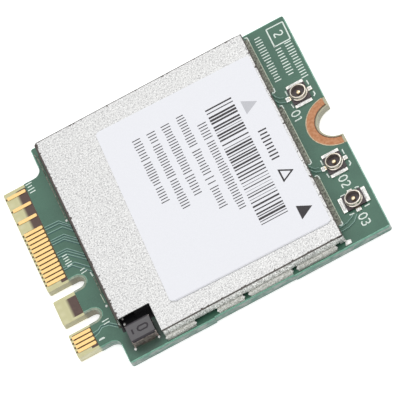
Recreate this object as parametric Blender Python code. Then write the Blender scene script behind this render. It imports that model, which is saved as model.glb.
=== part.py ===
# A laptop wifi card: a thin plug-in radio card with a row of gold contacts on a keyed
# tongue at one end and a half-round screw notch with three antenna sockets at the other.
# A folded tin shield with a paper label covers the radio parts.
#
# Lengths are in metres. X runs from the contact tongue to the screw notch, Y across the
# card, Z up from the underside. The origin is under the middle of the card.

import math

import bmesh
import bpy
from mathutils import Matrix

# Board
BOARD_LENGTH = 0.030
BOARD_WIDTH = 0.026
BOARD_THICKNESS = 0.0008
BOARD_CORNER_RADIUS = 0.00025
TONGUE_WIDTH = 0.01985
TONGUE_LENGTH = 0.0040
TONGUE_CORNER_RADIUS = 0.00015
SHOULDER_RADIUS = 0.0008
KEY_WIDTH = 0.0012
KEY_DEPTH = 0.0034
BREAK_OFF_START = 0.0124
BREAK_OFF_END = 0.0204
BREAK_OFF_DEPTH = 0.0001
SCREW_NOTCH_RADIUS = 0.00175
NOTCH_MOUTH_RADIUS = 0.0001
BARE_TONGUE_LENGTH = 0.00215
COATING_STEP = 0.00006

# Contacts, numbered along the tongue from the -Y end: odd ones on top, even ones below
FIRST_TO_LAST_CONTACT = 0.0185
LAST_CONTACT_NUMBER = 75
CONTACT_WIDTH = 0.00035
CONTACT_START = 0.0002
CONTACT_END = 0.00205
CONTACT_INNER_RADIUS = 0.00013
CONTACT_OUTER_RADIUS = 0.00004
TOP_CONTACTS = (1, 3, 5, 7, *range(33, 58, 2), 63, 69, 75)
UNDERSIDE_CONTACTS = (2, 4, 6, 16, 18, 44, 46, 48, 50, 52, 54, 56, 72, 74)
KEY_CONTACTS = (11.5, 27.5)

# Bare copper land round the screw notch
LAND_INNER_RADIUS = 0.00198
LAND_OUTER_RADIUS = 0.00275
LAND_EDGE_SETBACK = 0.00025
LAND_COATING_MARGIN = 0.00006

# Shield
SHIELD_START = 0.0046
SHIELD_END_SETBACK = 0.0044
SHIELD_SIDE_SETBACK = 0.00055
SHIELD_HEIGHT = 0.00128
SHIELD_SHEET = 0.00012
SHIELD_FOLD_RADIUS = 0.00016
SHIELD_CORNER_RADIUS = 0.00035
SHIELD_INNER_RADIUS = 0.0002
SHIELD_CUT_EDGE_RADIUS = 0.00008
CUT_OUT_LENGTH = 0.00325
CUT_OUT_WIDTH = 0.00335
FOOT_OPENING_HEIGHT = 0.0004
FRONT_OPENINGS = ((0.0062, 0.0022), (0.0110, 0.0006), (0.0159, 0.0006), (0.0203, 0.0010))
BACK_OPENINGS = ((0.0020, 0.0006), (0.0075, 0.0006), (0.0130, 0.0006), (0.0185, 0.0006))
LEFT_OPENINGS = ((-0.0050, 0.0006), (0.0005, 0.0006), (0.0060, 0.0006))
ANTENNA_OPENING_WIDTH = 0.0016
ANTENNA_TRACE_PLACES = (0.00426, -0.00435, -0.01080)

# Paper label
LABEL_LENGTH = 0.0155
LABEL_WIDTH = 0.0204
LABEL_THICKNESS = 0.00006
LABEL_CORNER_RADIUS = 0.0004
LABEL_OFF_CENTRE = (0.0025, -0.0002)
LABEL_TURN = math.radians(-1.2)

# Antenna sockets: (distance in from the notch edge, place across, turn)
SOCKET_PLACES = ((0.00188, 0.00426, 0.0), (0.00188, -0.00435, 0.0), (0.00183, -0.00887, 90.0))
SOCKET_BASE_LENGTH = 0.00174
SOCKET_BASE_WIDTH = 0.0019
SOCKET_BASE_HEIGHT = 0.0002
SOCKET_BASE_CORNER = 0.00012
SOCKET_RING_DIAMETER = 0.00158
SOCKET_BORE_DIAMETER = 0.00126
SOCKET_NECK_DIAMETER = 0.00148
SOCKET_RING_HEIGHT = 0.00042
SOCKET_BEAD_HEIGHT = 0.0002
SOCKET_BEAD_RADIUS = 0.0001
SOCKET_MOUTH_RADIUS = 0.00004
SOCKET_SKIRT_REACH = 0.00008
SOCKET_STRAP_THICKNESS = 0.00008
SOCKET_STRAP_WIDTH = 0.0005
SOCKET_FOOT_LENGTH = 0.0016
SOCKET_FOOT_WIDTH = 0.00026
SOCKET_END_TAB_WIDTH = 0.00045
SOCKET_TAB_REACH = 0.00036
CENTRE_PIN_DIAMETER = 0.0004
CENTRE_PIN_HEIGHT = 0.00048
CENTRE_PIN_DOME_HEIGHT = 0.0001
CENTRE_STRIP_WIDTH = 0.00042
CENTRE_STRIP_THICKNESS = 0.00008

# Power inductor, set back from the missing corner of the shield
INDUCTOR_LENGTH = 0.0024
INDUCTOR_WIDTH = 0.0019
INDUCTOR_HEIGHT = 0.001
INDUCTOR_EDGE = 0.00006
INDUCTOR_SETBACK = (0.00156, 0.00157)
TERMINAL_THICKNESS = 0.0001
TERMINAL_TOP_DROP = 0.00012
TERMINAL_LIP = 0.0004

# Parts under the shield: (length, width, height), and places as shares of the length of
# the shield and of half its width
RADIO_CHIP_SIZE = (0.0090, 0.0090, 0.00085)
RADIO_CHIP_PLACE = (0.45, -0.08)
RADIO_CHIP_LEDGE = 0.0006
RADIO_CHIP_BOARD = 0.00025
FRONT_END_SIZE = (0.0030, 0.0030, 0.00075)
FRONT_END_PLACES = ((0.87, 0.345), (0.87, -0.35), (0.87, -0.715))
CRYSTAL_SIZE = (0.0025, 0.0020, 0.00055)
CRYSTAL_PLACE = (0.163, 0.55)
CRYSTAL_LID_INSET = 0.00022
CRYSTAL_LID_DROP = 0.00018
MEMORY_SIZE = (0.0020, 0.0030, 0.0006)
MEMORY_PLACE = (0.125, -0.58)
CAPACITOR_SIZE = (0.0010, 0.0005, 0.0005)
CAPACITOR_PLACES = ((0.30, -0.78), (0.21, 0.68), (0.69, 0.55))
PART_EDGE = 0.00005

# Gap left between any two separate pieces that touch in the real card
FIT_GAP = 0.00002
# How far a cutter reaches past the surface it opens
CUTTER_REACH = 0.001
ARC_STEPS_PER_TURN = 48
RING_SEGMENTS = 40
PIN_SEGMENTS = 20
BEAD_STEPS = 3
PIN_DOME_STEPS = 3
# Corners straighter than this are left unrounded
STRAIGHT_HALF_ANGLE = math.radians(89)
# Points closer in height than this lie in one level plane
SAME_HEIGHT = 0.000002
# Edges blunter than this are shaded smooth
SMOOTH_ANGLE = math.radians(35)

SHIELD_END = BOARD_LENGTH - SHIELD_END_SETBACK
SHIELD_LENGTH = SHIELD_END - SHIELD_START
SHIELD_WIDTH = BOARD_WIDTH - 2 * SHIELD_SIDE_SETBACK
LID_TOP = BOARD_THICKNESS + FIT_GAP + SHIELD_HEIGHT
SEAT = BOARD_THICKNESS + FIT_GAP


def from_tip(distance):
    """X of a place this far in from the tip of the contact tongue."""
    return distance - BOARD_LENGTH / 2


def under_shield(along, across):
    """Place from a share of the length of the shield and a share of half its width."""
    return (from_tip(SHIELD_START + along * SHIELD_LENGTH), across * SHIELD_WIDTH / 2)


def contact_place(number):
    """Y of a contact, from its number along the tongue."""
    step = FIRST_TO_LAST_CONTACT / (LAST_CONTACT_NUMBER - 1)
    return (number - 1) * step - FIRST_TO_LAST_CONTACT / 2


def linear(hex_colour):
    """Linear red, green and blue of a colour written as on screen."""
    channels = []
    for shift in (16, 8, 0):
        value = ((hex_colour >> shift) & 255) / 255
        if value <= 0.04045:
            channels.append(value / 12.92)
        else:
            channels.append(((value + 0.055) / 1.055) ** 2.4)
    return (*channels, 1.0)


def finish(name, hex_colour, roughness, metallic):
    """A surface finish that pieces share."""
    made = bpy.data.materials.new(name)
    made.use_nodes = True
    shader = made.node_tree.nodes["Principled BSDF"]
    shader.inputs["Base Color"].default_value = linear(hex_colour)
    shader.inputs["Roughness"].default_value = roughness
    shader.inputs["Metallic"].default_value = metallic
    made.diffuse_color = linear(hex_colour)
    return made


def rounded(corners):
    """Outline through (x, y, radius) corners, each one rounded by an arc of its radius."""
    outline = []
    count = len(corners)
    for index, (x, y, radius) in enumerate(corners):
        before = corners[index - 1]
        after = corners[(index + 1) % count]
        to_before = (before[0] - x, before[1] - y)
        to_after = (after[0] - x, after[1] - y)
        length_before = math.hypot(*to_before)
        length_after = math.hypot(*to_after)
        u = (to_before[0] / length_before, to_before[1] / length_before)
        v = (to_after[0] / length_after, to_after[1] / length_after)
        cosine = max(-1.0, min(1.0, u[0] * v[0] + u[1] * v[1]))
        half = math.acos(cosine) / 2
        if radius <= 0 or half > STRAIGHT_HALF_ANGLE:
            outline.append((x, y))
            continue
        reach = radius / math.tan(half)
        middle = ((u[0] + v[0]) / 2, (u[1] + v[1]) / 2)
        scale = radius / math.sin(half) / math.hypot(*middle)
        centre = (x + middle[0] * scale, y + middle[1] * scale)
        start = math.atan2(y + u[1] * reach - centre[1], x + u[0] * reach - centre[0])
        end = math.atan2(y + v[1] * reach - centre[1], x + v[0] * reach - centre[0])
        sweep = (end - start + math.pi) % math.tau - math.pi
        steps = max(2, round(abs(sweep) / math.tau * ARC_STEPS_PER_TURN))
        for step in range(steps + 1):
            angle = start + sweep * step / steps
            outline.append(
                (centre[0] + radius * math.cos(angle), centre[1] + radius * math.sin(angle))
            )
    return outline


def arc(centre_x, centre_y, radius, start, end):
    """Points along an arc, with both of its ends."""
    steps = max(2, round(abs(end - start) / math.tau * ARC_STEPS_PER_TURN))
    points = []
    for step in range(steps + 1):
        angle = start + (end - start) * step / steps
        points.append((centre_x + radius * math.cos(angle), centre_y + radius * math.sin(angle)))
    return points


def rectangle(x0, x1, y0, y1, radius=0.0):
    """Outline of a rectangle with rounded corners."""
    return rounded([(x0, y0, radius), (x1, y0, radius), (x1, y1, radius), (x0, y1, radius)])


def prism(outline, bottom, top):
    """Upright solid on a counter-clockwise outline."""
    shape = bmesh.new()
    low = [shape.verts.new((x, y, bottom)) for x, y in outline]
    high = [shape.verts.new((x, y, top)) for x, y in outline]
    count = len(outline)
    shape.faces.new(low[::-1])
    shape.faces.new(high)
    for index in range(count):
        after = (index + 1) % count
        shape.faces.new((low[index], low[after], high[after], high[index]))
    return shape


def block(x0, x1, y0, y1, bottom, top):
    """Rectangular solid."""
    return prism(rectangle(x0, x1, y0, y1), bottom, top)


def side_prism(section, start, end):
    """Solid with this (x, z) section, running along Y from start to end."""
    shape = bmesh.new()
    near = [shape.verts.new((x, start, z)) for x, z in section]
    far = [shape.verts.new((x, end, z)) for x, z in section]
    shape.faces.new(near)
    shape.faces.new(far[::-1])
    for index in range(len(section)):
        after = (index + 1) % len(section)
        shape.faces.new((near[after], near[index], far[index], far[after]))
    return shape


def centred_block(size, centre, bottom):
    """Rectangular solid of a size (length, width, height) round a centre."""
    length, width, height = size
    x, y = centre
    return block(
        x - length / 2, x + length / 2, y - width / 2, y + width / 2, bottom, bottom + height
    )


def turned(profile, segments=RING_SEGMENTS):
    """Solid of revolution about Z from a counter-clockwise (radius, height) loop.
    Profile points on the axis become one point each."""
    shape = bmesh.new()
    rows = []
    for radius, height in profile:
        if radius == 0:
            rows.append([shape.verts.new((0, 0, height))])
            continue
        row = []
        for step in range(segments):
            angle = math.tau * step / segments
            row.append(
                shape.verts.new((radius * math.cos(angle), radius * math.sin(angle), height))
            )
        rows.append(row)
    for index, row in enumerate(rows):
        following = rows[(index + 1) % len(rows)]
        if len(row) == 1 and len(following) == 1:
            continue
        for step in range(segments):
            after = (step + 1) % segments
            corners = [row[step % len(row)], row[after % len(row)]]
            corners += [following[after % len(following)], following[step % len(following)]]
            face = []
            for corner in corners:
                if corner not in face:
                    face.append(corner)
            shape.faces.new(face)
    return shape


def soften(shape, chosen, size, steps):
    """Rounds the edges that the test picks out."""
    edges = [edge for edge in shape.edges if chosen(edge)]
    bmesh.ops.bevel(
        shape,
        geom=edges,
        offset=size,
        offset_type="OFFSET",
        segments=steps,
        profile=0.5,
        affect="EDGES",
        clamp_overlap=True,
    )
    return shape


def at_height(edge, height):
    """Whether an edge lies in the level plane at this height."""
    return all(abs(vert.co.z - height) < SAME_HEIGHT for vert in edge.verts)


def moved(shape, x=0.0, y=0.0, z=0.0, turn=0.0):
    """The shape turned about Z and then moved."""
    shape.transform(Matrix.Translation((x, y, z)) @ Matrix.Rotation(turn, 4, "Z"))
    return shape


def mesh_object(name, shape):
    """A scene object with this shape."""
    bmesh.ops.recalc_face_normals(shape, faces=shape.faces)
    mesh = bpy.data.meshes.new(name)
    shape.to_mesh(mesh)
    shape.free()
    made = bpy.data.objects.new(name, mesh)
    bpy.context.scene.collection.objects.link(made)
    return made


def with_tools(base, tools, operation):
    """Cuts the tool shapes from the base object, or joins them to it, and drops the tools."""
    for index, shape in enumerate(tools):
        tool = mesh_object(f"{base.name}_tool_{index}", shape)
        step = base.modifiers.new(f"{operation.lower()}_{index}", "BOOLEAN")
        step.operation = operation
        step.solver = "EXACT"
        step.object = tool
        bpy.context.view_layer.update()
        graph = bpy.context.evaluated_depsgraph_get()
        result = bpy.data.meshes.new_from_object(base.evaluated_get(graph))
        base.modifiers.clear()
        base.data = result
        bpy.data.objects.remove(tool, do_unlink=True)
    return base


def dressed(made, surface):
    """Gives the object its finish and smooth shading over its blunt edges."""
    made.data.name = made.name
    made.data.materials.clear()
    made.data.materials.append(surface)
    for face in made.data.polygons:
        face.use_smooth = True
        face.material_index = 0
    made.data.set_sharp_from_angle(angle=SMOOTH_ANGLE)
    return made


def board_outline():
    """Card outline: keyed contact tongue, shoulders, break-off steps and screw notch."""
    tip = from_tip(0)
    shoulder = from_tip(TONGUE_LENGTH)
    end = from_tip(BOARD_LENGTH)
    half = BOARD_WIDTH / 2
    half_tongue = TONGUE_WIDTH / 2
    step_start = from_tip(BREAK_OFF_START)
    step_end = from_tip(BREAK_OFF_END)
    inner = half - BREAK_OFF_DEPTH
    corner = BOARD_CORNER_RADIUS
    small = TONGUE_CORNER_RADIUS
    front = [
        (tip, -half_tongue, small),
        (shoulder, -half_tongue, SHOULDER_RADIUS),
        (shoulder, -half, corner),
        (step_start, -half, 0),
        (step_start + BREAK_OFF_DEPTH, -inner, 0),
        (step_end, -inner, 0),
        (step_end + BREAK_OFF_DEPTH, -half, 0),
        (end, -half, corner),
    ]
    back = [(x, -y, radius) for x, y, radius in reversed(front)]
    reach = SCREW_NOTCH_RADIUS
    notch = arc(end, 0, reach, math.radians(270), math.radians(90))
    lips = NOTCH_MOUTH_RADIUS
    corners = front + [(end, -reach, lips)]
    corners += [(x, y, 0) for x, y in notch[1:-1]]
    corners += [(end, reach, lips)] + back
    for number in sorted(KEY_CONTACTS, reverse=True):
        middle = contact_place(number)
        half_key = KEY_WIDTH / 2
        deepest = from_tip(KEY_DEPTH) - half_key
        corners.append((tip, middle + half_key, small))
        turn = arc(deepest, middle, half_key, math.radians(90), math.radians(-90))
        corners += [(x, y, 0) for x, y in turn]
        corners.append((tip, middle - half_key, small))
    return rounded(corners)


def circuit_board(surface):
    board = mesh_object("circuit_board", prism(board_outline(), 0, BOARD_THICKNESS))
    reach = CUTTER_REACH
    bare_end = from_tip(BARE_TONGUE_LENGTH)
    side = BOARD_WIDTH / 2 + reach
    land_radius = LAND_OUTER_RADIUS + LAND_COATING_MARGIN
    end = from_tip(BOARD_LENGTH)
    pockets = []
    for bottom, top in (
        (BOARD_THICKNESS - COATING_STEP, BOARD_THICKNESS + reach),
        (-reach, COATING_STEP),
    ):
        pockets.append(block(from_tip(-reach), bare_end, -side, side, bottom, top))
        circle = arc(end, 0, land_radius, 0, math.tau)[:-1]
        pockets.append(prism(circle, bottom, top))
    return dressed(with_tools(board, pockets, "DIFFERENCE"), surface)


def contact(number, surface):
    """One gold contact, level with the board coating beside it."""
    middle = contact_place(number)
    half = CONTACT_WIDTH / 2
    outer = from_tip(CONTACT_START)
    inner = from_tip(CONTACT_END)
    outline = rounded(
        [
            (outer, middle - half, CONTACT_OUTER_RADIUS),
            (inner, middle - half, CONTACT_INNER_RADIUS),
            (inner, middle + half, CONTACT_INNER_RADIUS),
            (outer, middle + half, CONTACT_OUTER_RADIUS),
        ]
    )
    thickness = COATING_STEP - FIT_GAP
    on_top = number % 2 == 1
    bottom = BOARD_THICKNESS - thickness if on_top else 0
    made = mesh_object(f"contact_{number:02d}", prism(outline, bottom, bottom + thickness))
    return dressed(made, surface)


def screw_land(name, on_top, surface):
    """Bare copper land round the screw notch, stopping short of the card edge."""
    end = from_tip(BOARD_LENGTH)
    outer_start = math.acos(-LAND_EDGE_SETBACK / LAND_OUTER_RADIUS)
    inner_start = math.acos(-LAND_EDGE_SETBACK / LAND_INNER_RADIUS)
    outline = arc(end, 0, LAND_OUTER_RADIUS, outer_start, math.tau - outer_start)
    outline += arc(end, 0, LAND_INNER_RADIUS, math.tau - inner_start, inner_start)
    thickness = COATING_STEP - FIT_GAP
    bottom = BOARD_THICKNESS - thickness if on_top else 0
    return dressed(mesh_object(name, prism(outline, bottom, bottom + thickness)), surface)


def shield_corners(inset, cut_edge_shift, corner_radius, cut_radius):
    """Corners of the shield outline, drawn in by an inset. The two edges of the cut-out
    corner are moved towards the missing corner by their own shift."""
    start = from_tip(SHIELD_START) + inset
    end = from_tip(SHIELD_END) - inset
    side = SHIELD_WIDTH / 2 - inset
    cut_x = from_tip(SHIELD_START) + CUT_OUT_LENGTH - cut_edge_shift
    cut_y = -SHIELD_WIDTH / 2 + CUT_OUT_WIDTH - cut_edge_shift
    return [
        (cut_x, -side, cut_radius),
        (end, -side, corner_radius),
        (end, side, corner_radius),
        (start, side, corner_radius),
        (start, cut_y, cut_radius),
        (cut_x, cut_y, cut_radius),
    ]


def shield_can(surface):
    """Folded tin shield, open below and at its cut-out corner, on short soldered feet."""
    outline = rounded(
        shield_corners(0, 0, SHIELD_CORNER_RADIUS, SHIELD_CUT_EDGE_RADIUS)
    )
    outer = prism(outline, SEAT, LID_TOP)
    cut_x = from_tip(SHIELD_START) + CUT_OUT_LENGTH
    cut_y = -SHIELD_WIDTH / 2 + CUT_OUT_WIDTH
    edge_of_cut = SHIELD_CUT_EDGE_RADIUS + FIT_GAP

    def folded(edge):
        """Every top edge but those of the cut-out corner, which is only sheared."""
        in_cut = all(
            vert.co.x < cut_x + edge_of_cut and vert.co.y < cut_y + edge_of_cut
            for vert in edge.verts
        )
        return at_height(edge, LID_TOP) and not in_cut

    shield = mesh_object("shield_can", soften(outer, folded, SHIELD_FOLD_RADIUS, 3))
    inside = rounded(shield_corners(SHIELD_SHEET, CUTTER_REACH / 2, SHIELD_INNER_RADIUS, 0))
    tools = [prism(inside, SEAT - CUTTER_REACH, LID_TOP - SHIELD_SHEET)]
    low = SEAT - CUTTER_REACH
    high = SEAT + FOOT_OPENING_HEIGHT
    side = SHIELD_WIDTH / 2
    start = from_tip(SHIELD_START)
    end = from_tip(SHIELD_END)
    reach = SHIELD_SHEET * 2
    for sign, openings in ((-1, FRONT_OPENINGS), (1, BACK_OPENINGS)):
        for offset, width in openings:
            x = start + offset
            y0, y1 = sorted((sign * (side - reach), sign * (side + reach)))
            tools.append(block(x, x + width, y0, y1, low, high))
    for y, width in LEFT_OPENINGS:
        tools.append(
            block(start - reach, start + reach, y - width / 2, y + width / 2, low, high)
        )
    half = ANTENNA_OPENING_WIDTH / 2
    for y in ANTENNA_TRACE_PLACES:
        tools.append(block(end - reach, end + reach, y - half, y + half, low, high))
    return dressed(with_tools(shield, tools, "DIFFERENCE"), surface)


def paper_label(surface):
    half_length = LABEL_LENGTH / 2
    half_width = LABEL_WIDTH / 2
    outline = rectangle(-half_length, half_length, -half_width, half_width, LABEL_CORNER_RADIUS)
    bottom = LID_TOP + FIT_GAP
    shape = prism(outline, bottom, bottom + LABEL_THICKNESS)
    x, y = under_shield(0.5, 0.0)
    moved(shape, x + LABEL_OFF_CENTRE[0], y + LABEL_OFF_CENTRE[1], 0, LABEL_TURN)
    return dressed(mesh_object("paper_label", shape), surface)


def socket_strap_reach():
    """Inner and outer distance from the socket's centre to the straps that leave the ring."""
    outer = SOCKET_NECK_DIAMETER / 2
    return outer - SOCKET_STRAP_THICKNESS, outer


def socket_sides():
    """For each side that the shell is soldered at: turn, and distance out to the foot."""
    side = SOCKET_BASE_WIDTH / 2 + FIT_GAP
    end = SOCKET_BASE_LENGTH / 2 + FIT_GAP
    return ((90.0, side), (-90.0, side), (0.0, end))


def socket_insulator(name, place, surface):
    """Moulded base with a hole for the centre pin, a channel under it for the pin's strip,
    and a slot and a channel for each strap of the shell."""
    half_length = SOCKET_BASE_LENGTH / 2
    half_width = SOCKET_BASE_WIDTH / 2
    outline = rectangle(-half_length, half_length, -half_width, half_width, SOCKET_BASE_CORNER)
    base = mesh_object(name, prism(outline, 0, SOCKET_BASE_HEIGHT))
    channel = CENTRE_STRIP_WIDTH / 2 + FIT_GAP
    hole = CENTRE_PIN_DIAMETER / 2 + FIT_GAP
    tools = [
        block(
            -half_length - CUTTER_REACH,
            channel,
            -channel,
            channel,
            -CUTTER_REACH,
            CENTRE_STRIP_THICKNESS + FIT_GAP,
        ),
        prism(arc(0, 0, hole, 0, math.tau)[:-1], -CUTTER_REACH, CUTTER_REACH),
    ]
    strap_start, strap_end = socket_strap_reach()
    half_strap = SOCKET_STRAP_WIDTH / 2 + FIT_GAP
    channel_top = SOCKET_STRAP_THICKNESS + FIT_GAP
    for turn, clear in socket_sides():
        section = [
            (strap_start - FIT_GAP, -CUTTER_REACH),
            (clear + CUTTER_REACH, -CUTTER_REACH),
            (clear + CUTTER_REACH, channel_top),
            (strap_end + FIT_GAP, channel_top),
            (strap_end + FIT_GAP, CUTTER_REACH),
            (strap_start - FIT_GAP, CUTTER_REACH),
        ]
        slot = side_prism(section, -half_strap, half_strap)
        tools.append(moved(slot, turn=math.radians(turn)))
    with_tools(base, tools, "DIFFERENCE")
    base.data.transform(place)
    return dressed(base, surface)


def socket_shell(name, place, surface):
    """Outer contact: a ring with a snap bead that stands on the insulator, and straps that go
    down through it and out under it to two long solder feet and a short one."""
    floor = SOCKET_BASE_HEIGHT + FIT_GAP
    thickness = SOCKET_STRAP_THICKNESS
    top = floor + SOCKET_RING_HEIGHT
    bore = SOCKET_BORE_DIAMETER / 2
    neck = SOCKET_NECK_DIAMETER / 2
    outer = SOCKET_RING_DIAMETER / 2
    bead_low = top - SOCKET_BEAD_HEIGHT
    skirt = SOCKET_SKIRT_REACH
    bead = SOCKET_BEAD_RADIUS
    mouth = SOCKET_MOUTH_RADIUS
    profile = [
        (bore, floor),
        (neck + skirt, floor),
        (neck + skirt, floor + skirt / 4),
        (neck, floor + skirt),
        (neck, bead_low - (outer - neck)),
        (outer, bead_low),
    ]
    for step in range(BEAD_STEPS + 1):
        angle = math.pi / 2 * step / BEAD_STEPS
        profile.append((outer - bead + bead * math.cos(angle), top - bead + bead * math.sin(angle)))
    profile += [(bore + mouth, top), (bore, top - mouth)]
    shell = mesh_object(name, turned(profile))
    sunk = FIT_GAP / 2
    strap_start, strap_end = socket_strap_reach()
    long_foot = (SOCKET_FOOT_LENGTH, SOCKET_FOOT_WIDTH)
    end_foot = (SOCKET_END_TAB_WIDTH, SOCKET_TAB_REACH)
    tools = []
    for (turn, clear), (length, width) in zip(socket_sides(), (long_foot, long_foot, end_foot)):
        section = [
            (strap_start, sunk),
            (clear + thickness, sunk),
            (clear + thickness, thickness - sunk),
            (strap_end, thickness - sunk),
            (strap_end, floor + thickness),
            (strap_start, floor + thickness),
        ]
        half_strap = min(SOCKET_STRAP_WIDTH, length - FIT_GAP) / 2
        strap = side_prism(section, -half_strap, half_strap)
        foot = block(clear, clear + width, -length / 2, length / 2, 0, thickness)
        for shape in (strap, foot):
            tools.append(moved(shape, turn=math.radians(turn)))
    with_tools(shell, tools, "UNION")
    shell.data.transform(place)
    return dressed(shell, surface)


def socket_centre(name, place, surface):
    """Centre pin standing on its strip, which leaves through the insulator as a tab."""
    radius = CENTRE_PIN_DIAMETER / 2
    shoulder = CENTRE_PIN_HEIGHT - CENTRE_PIN_DOME_HEIGHT
    profile = [(0, CENTRE_STRIP_THICKNESS / 2), (radius, CENTRE_STRIP_THICKNESS / 2)]
    for step in range(PIN_DOME_STEPS):
        angle = math.pi / 2 * step / PIN_DOME_STEPS
        height = shoulder + CENTRE_PIN_DOME_HEIGHT * math.sin(angle)
        profile.append((radius * math.cos(angle), height))
    profile.append((0, CENTRE_PIN_HEIGHT))
    pin = mesh_object(name, turned(profile, PIN_SEGMENTS))
    half = CENTRE_STRIP_WIDTH / 2
    tip = -SOCKET_BASE_LENGTH / 2 - SOCKET_TAB_REACH
    strip = block(tip, half, -half, half, 0, CENTRE_STRIP_THICKNESS)
    with_tools(pin, [strip], "UNION")
    pin.data.transform(place)
    return dressed(pin, surface)


def antenna_sockets(shell_surface, base_surface, pin_surface):
    end = from_tip(BOARD_LENGTH)
    for index, (edge_distance, y, turn) in enumerate(SOCKET_PLACES, start=1):
        place = Matrix.Translation((end - edge_distance, y, SEAT))
        place = place @ Matrix.Rotation(math.radians(turn), 4, "Z")
        name = f"antenna_socket_{index}"
        socket_insulator(f"{name}_insulator", place, base_surface)
        socket_shell(f"{name}_shell", place, shell_surface)
        socket_centre(f"{name}_pin", place, pin_surface)


def power_inductor(core_surface, terminal_surface):
    """Moulded core between two plated end terminals that fold under it."""
    x = from_tip(SHIELD_START + INDUCTOR_SETBACK[0])
    y = -SHIELD_WIDTH / 2 + INDUCTOR_SETBACK[1]
    half_length = INDUCTOR_LENGTH / 2
    core_half = INDUCTOR_WIDTH / 2 - TERMINAL_THICKNESS
    under = SEAT + TERMINAL_THICKNESS
    top = SEAT + INDUCTOR_HEIGHT
    shape = block(x - half_length, x + half_length, y - core_half, y + core_half, under, top)
    soften(shape, lambda edge: True, INDUCTOR_EDGE, 2)
    dressed(mesh_object("inductor_core", shape), core_surface)
    lip_top = under - FIT_GAP
    rise_top = top - TERMINAL_TOP_DROP
    section = [
        (core_half - TERMINAL_LIP, SEAT),
        (core_half + TERMINAL_THICKNESS, SEAT),
        (core_half + TERMINAL_THICKNESS, rise_top),
        (core_half + FIT_GAP, rise_top),
        (core_half + FIT_GAP, lip_top),
        (core_half - TERMINAL_LIP, lip_top),
    ]
    for name, turn in (("inductor_terminal_front", -90.0), ("inductor_terminal_back", 90.0)):
        terminal = side_prism(section, -half_length, half_length)
        moved(terminal, x, y, 0, math.radians(turn))
        dressed(mesh_object(name, terminal), terminal_surface)


def stepped_part(name, size, place, step_height, inset, surface):
    """A component with a smaller cap on a wider foot."""
    length, width, height = size
    centre = under_shield(*place)
    foot = centred_block((length, width, step_height), centre, SEAT)
    part = mesh_object(name, foot)
    cap_size = (length - 2 * inset, width - 2 * inset, height - step_height / 2)
    cap = centred_block(cap_size, centre, SEAT + step_height / 2)
    top = SEAT + height
    soften(cap, lambda edge: at_height(edge, top), PART_EDGE, 2)
    with_tools(part, [cap], "UNION")
    return dressed(part, surface)


def plain_part(name, size, place, surface):
    """A component that is a simple block with eased top edges."""
    shape = centred_block(size, under_shield(*place), SEAT)
    top = SEAT + size[2]
    soften(shape, lambda edge: at_height(edge, top), PART_EDGE, 2)
    return dressed(mesh_object(name, shape), surface)


def parts_under_shield(resin, ceramic, lid_metal, capacitor_end):
    stepped_part(
        "radio_chip", RADIO_CHIP_SIZE, RADIO_CHIP_PLACE, RADIO_CHIP_BOARD, RADIO_CHIP_LEDGE, resin
    )
    for index, place in enumerate(FRONT_END_PLACES, start=1):
        plain_part(f"front_end_module_{index}", FRONT_END_SIZE, place, ceramic)
    lid_base = CRYSTAL_SIZE[2] - CRYSTAL_LID_DROP
    stepped_part(
        "reference_crystal", CRYSTAL_SIZE, CRYSTAL_PLACE, lid_base, CRYSTAL_LID_INSET, lid_metal
    )
    plain_part("memory_chip", MEMORY_SIZE, MEMORY_PLACE, resin)
    for index, place in enumerate(CAPACITOR_PLACES, start=1):
        plain_part(f"capacitor_{index}", CAPACITOR_SIZE, place, capacitor_end)


def build():
    for leftover in list(bpy.data.objects):
        bpy.data.objects.remove(leftover, do_unlink=True)
    green = finish("green_board", 0x5A8270, 0.42, 0.0)
    gold = finish("gold_plate", 0xE8B866, 0.28, 1.0)
    copper = finish("bare_copper", 0xC07A55, 0.45, 1.0)
    tin = finish("tinned_sheet", 0xC9C7C3, 0.42, 1.0)
    paper = finish("label_paper", 0xECEEF4, 0.62, 0.0)
    black = finish("black_moulding", 0x3A3338, 0.5, 0.0)
    resin = finish("chip_resin", 0x26262A, 0.55, 0.0)
    ferrite = finish("ferrite_grey", 0x7A7478, 0.6, 0.0)
    solder = finish("soldered_end", 0xBDB4B0, 0.4, 1.0)
    ceramic = finish("module_ceramic", 0x5B5F66, 0.5, 0.0)
    tan = finish("capacitor_tan", 0xA98563, 0.5, 0.0)

    circuit_board(green)
    for number in TOP_CONTACTS + UNDERSIDE_CONTACTS:
        contact(number, gold)
    screw_land("screw_land_top", True, copper)
    screw_land("screw_land_underside", False, copper)
    shield_can(tin)
    paper_label(paper)
    antenna_sockets(gold, black, gold)
    power_inductor(ferrite, solder)
    parts_under_shield(resin, ceramic, tin, tan)


build()
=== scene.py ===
import math

import bmesh
import bpy
from mathutils import Matrix, Vector


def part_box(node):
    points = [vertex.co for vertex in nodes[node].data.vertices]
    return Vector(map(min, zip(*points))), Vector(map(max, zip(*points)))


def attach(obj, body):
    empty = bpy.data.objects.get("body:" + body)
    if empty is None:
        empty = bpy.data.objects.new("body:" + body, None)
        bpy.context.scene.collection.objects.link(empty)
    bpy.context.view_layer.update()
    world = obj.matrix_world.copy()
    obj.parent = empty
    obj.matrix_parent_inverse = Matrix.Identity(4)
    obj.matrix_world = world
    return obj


# The looks of a laptop wifi card. Places on the card are in millimetres: in from the tip of
# the contact tongue, then across the card. Heights and the finished meshes are in metres.

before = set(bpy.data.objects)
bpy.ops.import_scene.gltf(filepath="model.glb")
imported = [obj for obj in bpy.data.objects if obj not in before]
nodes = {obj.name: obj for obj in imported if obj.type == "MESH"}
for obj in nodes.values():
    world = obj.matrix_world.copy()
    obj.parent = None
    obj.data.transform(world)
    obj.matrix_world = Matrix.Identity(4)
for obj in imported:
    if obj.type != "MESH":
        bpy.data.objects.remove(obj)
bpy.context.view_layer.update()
MM = 0.001

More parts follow.
